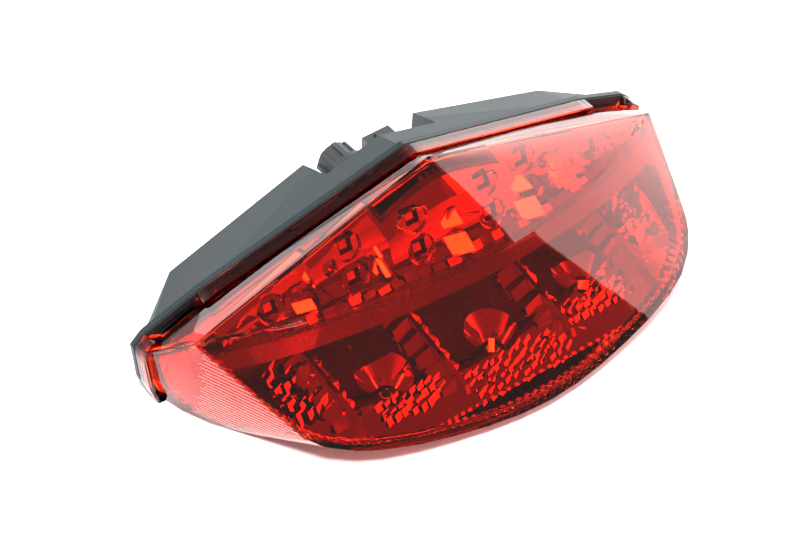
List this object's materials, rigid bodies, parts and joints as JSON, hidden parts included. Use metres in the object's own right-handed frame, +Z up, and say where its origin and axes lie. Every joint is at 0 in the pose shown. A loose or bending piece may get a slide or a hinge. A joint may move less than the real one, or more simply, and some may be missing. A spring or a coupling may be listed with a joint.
{
  "type": "motorcycle tail light",
  "caption": "Deep red-lensed motorcycle tail light with chromed LED reflectors, black housing and a twist-lock lamp holder in its rear recess.",
  "frame": {"origin": "middle of the footprint, on the surface the light rests on", "axes": "+X across the light, the lens looks along -Y and upwards, +Z up, as it lies in use on a bench"},
  "size_m": [0.21, 0.1095, 0.065],
  "materials": {
    "housing_plastic": "moulded black plastic with a fine matt texture",
    "red_lens": "clear transparent red plastic, polished",
    "seal_rubber": "black sealing compound",
    "reflector_chrome": "vacuum-metallised plastic, mirror bright",
    "dark_trim": "smooth dark trim",
    "circuit_board": "solder-masked board",
    "led_emitter": "resin over the emitter, unlit",
    "led_frame": "moulded package frame",
    "clear_plastic": "clear polished plastic",
    "screw_steel": "zinc-plated",
    "component_black": "moulded",
    "lead_cover": "insulated lead",
    "contact_brass": "plated brass",
    "holder_plastic": "moulded",
    "bulb_glass": "clear bulb glass"
  },
  "bodies": {
    "light": {"housing": "housing_plastic", "lens": "red_lens", "lens_seal": "seal_rubber", "upper_reflector": "reflector_chrome", "lower_reflector": "reflector_chrome", "divider_shelf": "dark_trim", "boss_cap": "reflector_chrome", "upper_led_board": "circuit_board", "upper_leds": "led_emitter", "upper_led_frames": "led_frame", "lower_led_board": "circuit_board", "lower_leds": "led_emitter", "lower_led_domes": "clear_plastic", "board_screws": "screw_steel", "driver_board": "circuit_board", "driver_components": "component_black", "driver_screws": "screw_steel", "inner_leads": "lead_cover", "connector_socket": "component_black", "connector_pins": "contact_brass", "plate_window": "clear_plastic", "window_seal": "seal_rubber", "breather_cap": "seal_rubber", "mount_inserts": "contact_brass"},
    "holder": {"bulb_holder": "holder_plastic", "holder_gasket": "seal_rubber", "plate_bulb": "bulb_glass", "bulb_contacts": "contact_brass"}
  },
  "joints": [
    {"name": "holder_turn", "type": "hinge", "parent": "light", "child": "holder", "pos_m": [-0.0105, 0.039, 0.0426], "axis": [0, 1, 0], "range_deg": [0, 45]}
  ]
}
